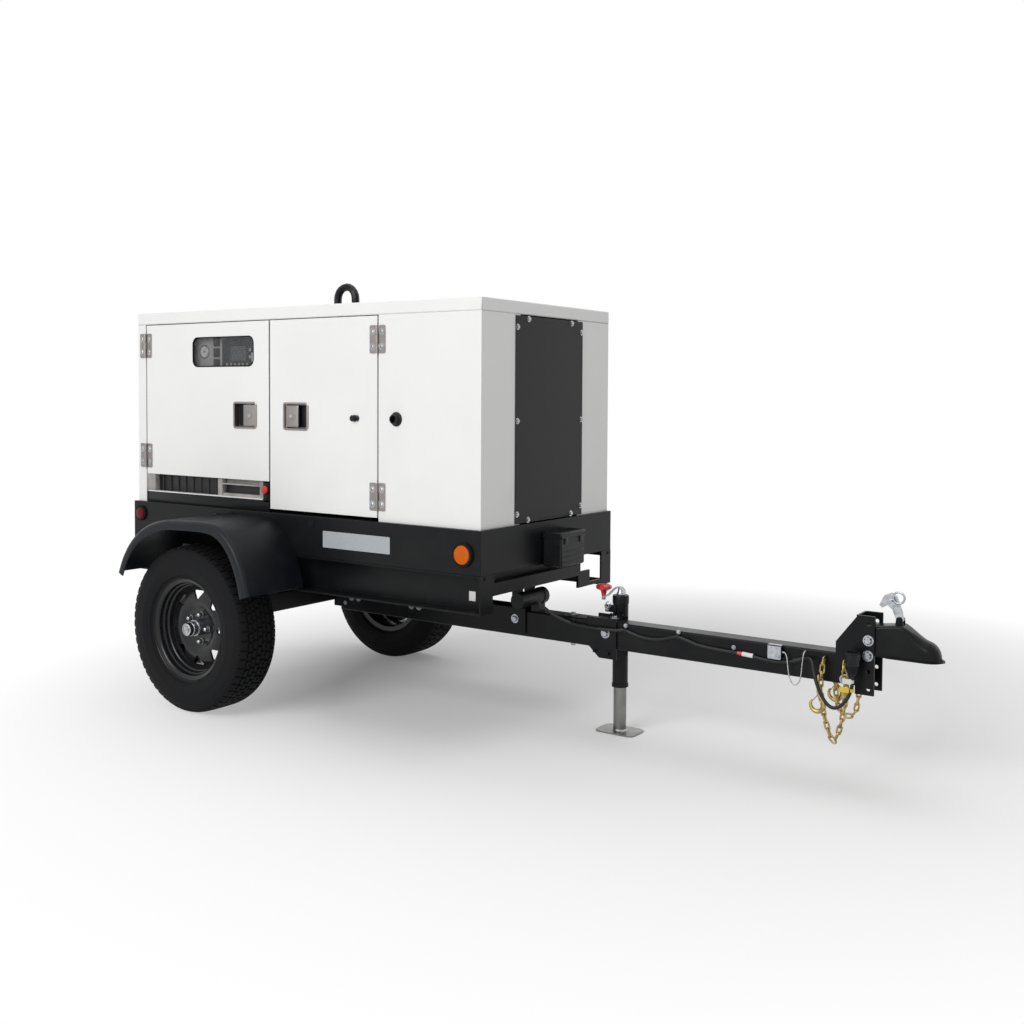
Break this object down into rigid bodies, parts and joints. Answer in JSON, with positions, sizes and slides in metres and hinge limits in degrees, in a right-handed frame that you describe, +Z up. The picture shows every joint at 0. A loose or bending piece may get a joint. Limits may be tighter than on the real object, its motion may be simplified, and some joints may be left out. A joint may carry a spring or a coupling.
{
  "type": "towable diesel generator",
  "caption": "Sound-proofed diesel generator on a single-axle trailer with side doors, lifting bail, swivel jack and ball coupler.",
  "frame": {"origin": "centre of the bounding box at the ground, under the middle of the trailer", "axes": "+X towards the coupler, +Z up, -Y the near side with the control panel's window"},
  "size_m": [3.446, 1.5, 1.777],
  "materials": {
    "black_paint": "satin",
    "white_paint": "satin",
    "grey_paint": "matte",
    "tyre_rubber": "matte",
    "black_plastic": "satin",
    "stainless": "satin",
    "zinc": "satin",
    "gold_zinc": "satin",
    "red_plastic": "gloss",
    "cast_alloy": "matte",
    "core_alloy": "matte",
    "tank_plastic": "matte",
    "window_pane": "gloss",
    "cable_rubber": "matte"
  },
  "bodies": {
    "trailer": {"axle_tube": "black_paint", "chassis_frame": "black_paint", "skid_base": "black_paint", "tongue_tube": "black_paint", "hitch_bracket": "black_paint", "coupler_body": "black_paint", "jack_mount": "black_paint", "lifting_frame": "black_paint", "front_corner_panel_near": "white_paint", "front_corner_panel_far": "white_paint", "rear_panel": "white_paint", "roof_panel": "white_paint", "front_cover": "grey_paint", "control_panel": "grey_paint", "output_panel": "grey_paint", "fender_near": "black_plastic", "fender_far": "black_plastic", "battery_box": "black_plastic", "manual_canister": "black_plastic", "breakaway_switch": "black_plastic", "trailer_plug": "black_plastic", "starting_battery": "black_plastic", "breakaway_cable": "stainless", "safety_chain_near": "gold_zinc", "safety_chain_far": "gold_zinc", "engine": "cast_alloy", "alternator": "cast_alloy", "muffler": "cast_alloy", "radiator": "core_alloy", "fuel_tank": "tank_plastic", "tongue_harness": "cable_rubber", "trailer_cable": "cable_rubber"},
    "arm_near": {"torsion_arm_near": "black_paint"},
    "arm_far": {"torsion_arm_far": "black_paint"},
    "wheel_near": {"tyre_near": "tyre_rubber", "rim_near": "black_paint", "hub_near": "zinc"},
    "wheel_far": {"tyre_far": "tyre_rubber", "rim_far": "black_paint", "hub_far": "zinc"},
    "lever": {"coupler_latch_lever": "zinc"},
    "lock_pin": {"coupler_lock_pin": "zinc"},
    "jack": {"jack_tube": "black_paint"},
    "leg": {"jack_leg": "zinc"},
    "crank": {"jack_crank": "zinc"},
    "knob": {"jack_knob": "red_plastic"},
    "pull_pin": {"jack_pull_pin": "zinc"},
    "door_near_rear": {"door_near_rear": "white_paint", "door_window": "window_pane"},
    "door_near_front": {"door_near_front": "white_paint"},
    "door_far_rear": {"door_far_rear": "white_paint"},
    "door_far_front": {"door_far_front": "white_paint"},
    "paddle_near_rear": {"latch_paddle_near_rear": "stainless"},
    "paddle_near_front": {"latch_paddle_near_front": "stainless"},
    "paddle_far_rear": {"latch_paddle_far_rear": "stainless"},
    "paddle_far_front": {"latch_paddle_far_front": "stainless"},
    "breaker": {"main_breaker_lever": "black_plastic"},
    "stop_button": {"emergency_stop": "red_plastic"},
    "fan": {"cooling_fan": "black_plastic"},
    "filler_cap": {"fuel_cap": "black_plastic"}
  },
  "joints": [
    {"name": "suspension_near", "type": "hinge", "parent": "trailer", "child": "arm_near", "pos_m": [-0.933, -0.452, 0.424], "axis": [0, 1, 0], "range_deg": [-8, 10], "stiffness_Nm_per_rad": 2400, "springref_deg": -15.13},
    {"name": "wheel_near_spin", "type": "hinge", "parent": "arm_near", "child": "wheel_near", "pos_m": [-1.083, -0.6, 0.338], "axis": [0, 1, 0], "continuous": true},
    {"name": "suspension_far", "type": "hinge", "parent": "trailer", "child": "arm_far", "pos_m": [-0.933, 0.452, 0.424], "axis": [0, 1, 0], "range_deg": [-8, 10], "stiffness_Nm_per_rad": 2400, "springref_deg": -15.13},
    {"name": "wheel_far_spin", "type": "hinge", "parent": "arm_far", "child": "wheel_far", "pos_m": [-1.083, 0.6, 0.338], "axis": [0, 1, 0], "continuous": true},
    {"name": "coupler_lever", "type": "hinge", "parent": "trailer", "child": "lever", "pos_m": [1.581, 0, 0.575], "axis": [0, 1, 0], "range_deg": [0, 60]},
    {"name": "lock_pin_pull", "type": "slide", "parent": "lever", "child": "lock_pin", "axis": [0, -1, 0], "range_m": [0, 0.045]},
    {"name": "jack_swivel", "type": "hinge", "parent": "trailer", "child": "jack", "pos_m": [0.482, 0.1, 0.4], "axis": [0, -1, 0], "range_deg": [0, 90]},
    {"name": "jack_extend", "type": "slide", "parent": "jack", "child": "leg", "axis": [0, 0, -1], "range_m": [-0.09, 0.18]},
    {"name": "jack_crank_turn", "type": "hinge", "parent": "jack", "child": "crank", "pos_m": [0.482, 0.1, 0.528], "axis": [0, 0, 1], "continuous": true},
    {"name": "jack_knob_spin", "type": "hinge", "parent": "crank", "child": "knob", "pos_m": [0.406, 0.1, 0.528], "axis": [0, 0, 1], "continuous": true},
    {"name": "jack_pin_pull", "type": "slide", "parent": "jack", "child": "pull_pin", "axis": [0, -1, 0], "range_m": [0, 0.012], "stiffness_N_per_m": 1500},
    {"name": "door_near_rear_hinge", "type": "hinge", "parent": "trailer", "child": "door_near_rear", "pos_m": [-1.651, -0.4462, 0.933], "axis": [0, 0, -1], "range_deg": [0, 165]},
    {"name": "paddle_near_rear_pull", "type": "hinge", "parent": "door_near_rear", "child": "paddle_near_rear", "pos_m": [-0.9525, -0.4365, 1.2015], "axis": [0, 0, 1], "range_deg": [0, 38], "stiffness_Nm_per_rad": 0.8},
    {"name": "door_near_front_hinge", "type": "hinge", "parent": "trailer", "child": "door_near_front", "pos_m": [-0.275, -0.4462, 0.822], "axis": [0, 0, 1], "range_deg": [0, 165]},
    {"name": "paddle_near_front_pull", "type": "hinge", "parent": "door_near_front", "child": "paddle_near_front", "pos_m": [-0.77, -0.4365, 1.2015], "axis": [0, 0, -1], "range_deg": [0, 38], "stiffness_Nm_per_rad": 0.8},
    {"name": "door_far_rear_hinge", "type": "hinge", "parent": "trailer", "child": "door_far_rear", "pos_m": [-1.651, 0.4462, 0.822], "axis": [0, 0, 1], "range_deg": [0, 165]},
    {"name": "paddle_far_rear_pull", "type": "hinge", "parent": "door_far_rear", "child": "paddle_far_rear", "pos_m": [-0.9525, 0.4365, 1.2015], "axis": [0, 0, -1], "range_deg": [0, 38], "stiffness_Nm_per_rad": 0.8},
    {"name": "door_far_front_hinge", "type": "hinge", "parent": "trailer", "child": "door_far_front", "pos_m": [-0.275, 0.4462, 0.822], "axis": [0, 0, -1], "range_deg": [0, 165]},
    {"name": "paddle_far_front_pull", "type": "hinge", "parent": "door_far_front", "child": "paddle_far_front", "pos_m": [-0.77, 0.4365, 1.2015], "axis": [0, 0, 1], "range_deg": [0, 38], "stiffness_Nm_per_rad": 0.8},
    {"name": "breaker_toggle", "type": "hinge", "parent": "trailer", "child": "breaker", "pos_m": [-1.463, -0.414, 1.24], "axis": [1, 0, 0], "range_deg": [0, 60]},
    {"name": "stop_push", "type": "slide", "parent": "trailer", "child": "stop_button", "axis": [0, 1, 0], "range_m": [0, 0.005]},
    {"name": "fan_spin", "type": "hinge", "parent": "trailer", "child": "fan", "pos_m": [-0.073, 0, 1.08], "axis": [1, 0, 0], "continuous": true},
    {"name": "filler_cap_turn", "type": "hinge", "parent": "trailer", "child": "filler_cap", "pos_m": [-1.533, 0.33, 0.905], "axis": [0, 0, 1], "continuous": true}
  ]
}
